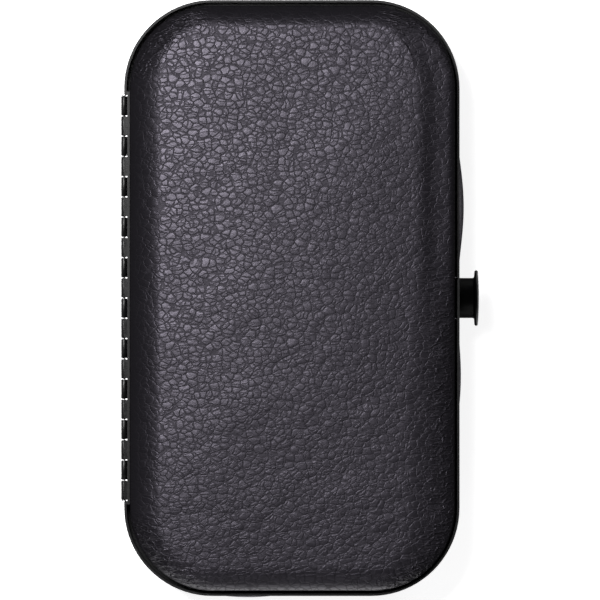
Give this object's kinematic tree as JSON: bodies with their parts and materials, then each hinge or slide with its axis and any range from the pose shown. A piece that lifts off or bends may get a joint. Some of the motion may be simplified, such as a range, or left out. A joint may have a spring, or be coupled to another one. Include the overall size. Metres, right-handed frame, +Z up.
{
  "type": "framed manicure case",
  "caption": "Pocket-size padded case in black grained leatherette with two hinged steel-framed halves, a piano hinge and a spring push-button latch.",
  "frame": {"origin": "under the middle of the closed case's overall box, on the flat underside it lies on", "axes": "+Z up through the lid, +Y along the hinge side, +X from the hinge towards the push button"},
  "size_m": [0.0894, 0.1486, 0.03],
  "materials": {
    "leatherette": "pebble-grained black imitation leather, satin",
    "black_frame": "semi-gloss black enamel on pressed steel",
    "black_hinge": "semi-gloss black enamel, lightly rubbed",
    "black_button": "semi-gloss black enamel",
    "steel_pin": "drawn steel wire",
    "foam": "soft open-cell foam",
    "fibreboard": "pressed fibreboard",
    "lining_cloth": "short-pile black velour",
    "board_wrap": "black velour over card",
    "elastic": "woven black elastic",
    "plated_steel": "nickel-plated sheet steel",
    "rivet_steel": "nickel-plated, turned",
    "spring_steel": "spring wire"
  },
  "bodies": {
    "base": {"base_frame": "black_frame", "base_hinge_leaf": "black_hinge", "hinge_pin": "steel_pin", "base_cover": "leatherette", "base_padding": "foam", "base_shell": "fibreboard", "base_lining": "lining_cloth", "base_tool_board": "board_wrap", "base_elastic_loops": "elastic", "latch_housing": "plated_steel", "latch_rivets": "rivet_steel", "button_spring": "spring_steel"},
    "lid": {"lid_frame": "black_frame", "lid_hinge_leaf": "black_hinge", "lid_cover": "leatherette", "lid_padding": "foam", "lid_shell": "fibreboard", "lid_lining": "lining_cloth", "lid_tool_board": "board_wrap", "lid_elastic_loops": "elastic", "lid_pocket": "lining_cloth", "striker": "plated_steel", "striker_rivets": "rivet_steel"},
    "button": {"button": "black_button", "button_stem": "rivet_steel", "catch_plate": "plated_steel", "stem_clip": "plated_steel"}
  },
  "joints": [
    {"name": "lid_hinge", "type": "hinge", "parent": "base", "child": "lid", "pos_m": [-0.04401, 0, 0.015], "axis": [0, -1, 0], "range_deg": [0, 180]},
    {"name": "button_press", "type": "slide", "parent": "base", "child": "button", "axis": [-1, 0, 0], "range_m": [0, 0.0025], "stiffness_N_per_m": 400, "springref_m": -0.002, "deforming": ["button_spring"]}
  ]
}
